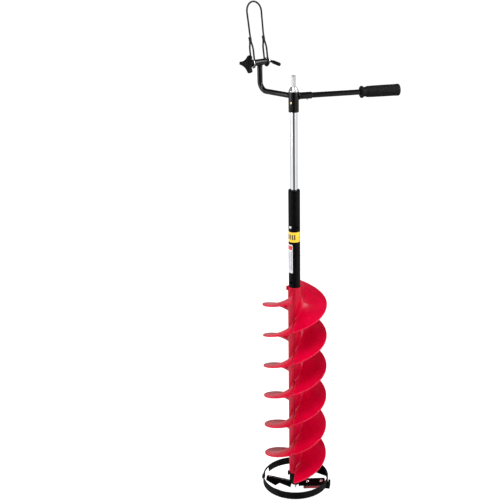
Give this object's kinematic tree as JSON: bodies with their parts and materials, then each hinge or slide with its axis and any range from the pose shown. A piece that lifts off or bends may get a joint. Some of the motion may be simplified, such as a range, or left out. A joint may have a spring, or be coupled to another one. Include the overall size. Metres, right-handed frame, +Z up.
{
  "type": "ice fishing auger",
  "caption": "Drill-driven ice auger: twin nylon flights on a telescoping shaft, turning handle with side grip and drill hoop, bladed cutting head and clip-on guard.",
  "frame": {"origin": "centre of the small flat at the centre point's tip, on the shaft's axis", "axes": "+Z up along the shaft towards the drill spindle; +X towards the side the right grip stands on (the grip arm is 18 degrees behind +X); -Y is the front"},
  "size_m": [0.4841, 0.2507, 1.5844],
  "materials": {
    "red_nylon": "moulded nylon, satin, slightly translucent at the rims",
    "black_paint": "satin black powder coat",
    "black_plastic": "moulded, fine texture",
    "black_rubber": "ribbed, matte",
    "chrome": "polished",
    "steel": "brushed",
    "brass": "turned, bright",
    "pale_plastic": "natural nylon"
  },
  "bodies": {
    "shaft": {"extension_rod": "chrome", "drive_spindle": "chrome", "cone_collar": "chrome", "thrust_washer": "steel", "retaining_ring": "steel", "rod_foot_guide": "black_plastic", "rod_end_cap": "black_plastic", "snap_spring": "steel"},
    "snap_button": {"snap_button": "chrome"},
    "auger": {"lower_tube": "black_paint", "tube_bush": "black_plastic", "flight_shell_right": "red_nylon", "flight_shell_left": "red_nylon", "shell_pin_lower": "steel", "shell_pin_upper": "steel", "head_hub": "black_paint", "head_cross_bolt": "black_paint", "head_cross_nut": "black_paint", "centre_point": "steel", "blade_holder_right": "black_paint", "blade_holder_left": "black_paint", "blade_right": "steel", "blade_left": "steel", "blade_screw_right_inner": "chrome", "blade_screw_right_outer": "chrome", "blade_screw_left_inner": "chrome", "blade_screw_left_outer": "chrome"},
    "guard": {"guard_ring": "black_plastic", "guard_latch": "black_plastic"},
    "handle": {"hub_sleeve": "black_paint", "hub_bush_lower": "pale_plastic", "hub_bush_upper": "pale_plastic", "grease_screw": "brass", "right_arm": "black_paint", "arm_set_screw": "steel", "hand_grip": "black_rubber", "left_arm": "black_paint", "cross_tube": "black_paint"},
    "clamp_bolt": {"clamp_bolt": "steel", "bolt_leg_sleeve": "black_rubber"},
    "clamp_washers": {"clamp_washer_front": "steel", "clamp_washer_back": "steel"},
    "hoop": {"drill_hoop": "black_paint"},
    "knob": {"star_knob": "black_plastic", "knob_insert": "brass"}
  },
  "joints": [
    {"name": "extension_slide", "type": "slide", "parent": "shaft", "child": "auger", "axis": [0, 0, 1], "range_m": [0, 0.18], "deforming": ["snap_button"]},
    {"name": "snap_press", "type": "slide", "parent": "shaft", "child": "snap_button", "axis": [-0.6561, -0.7547, 0], "range_m": [-0.005, 0], "stiffness_N_per_m": 800, "springref_m": 0.004, "deforming": ["snap_spring"]},
    {"name": "guard_off", "type": "slide", "parent": "auger", "child": "guard", "axis": [0, 0, 1], "range_m": [-0.06, 0]},
    {"name": "handle_turn", "type": "hinge", "parent": "shaft", "child": "handle", "pos_m": [0, 0, 1.305], "axis": [0, 0, 1], "continuous": true},
    {"name": "clamp_bolt_turn", "type": "hinge", "parent": "handle", "child": "clamp_bolt", "pos_m": [-0.10072, 0.1043, 1.407], "axis": [0.7193, 0.6947, 0], "continuous": true},
    {"name": "hoop_tilt", "type": "hinge", "parent": "handle", "child": "clamp_washers", "pos_m": [-0.10072, 0.1043, 1.407], "axis": [0.7193, 0.6947, 0], "range_deg": [-100, 45]},
    {"name": "hoop_slide", "type": "slide", "parent": "clamp_washers", "child": "hoop", "axis": [-0.0967, 0.1001, 0.9903], "range_m": [-0.042, 0.005]},
    {"name": "knob_turn", "type": "hinge", "parent": "clamp_bolt", "child": "knob", "pos_m": [-0.10072, 0.1043, 1.407], "axis": [0.7193, 0.6947, 0], "continuous": true}
  ]
}
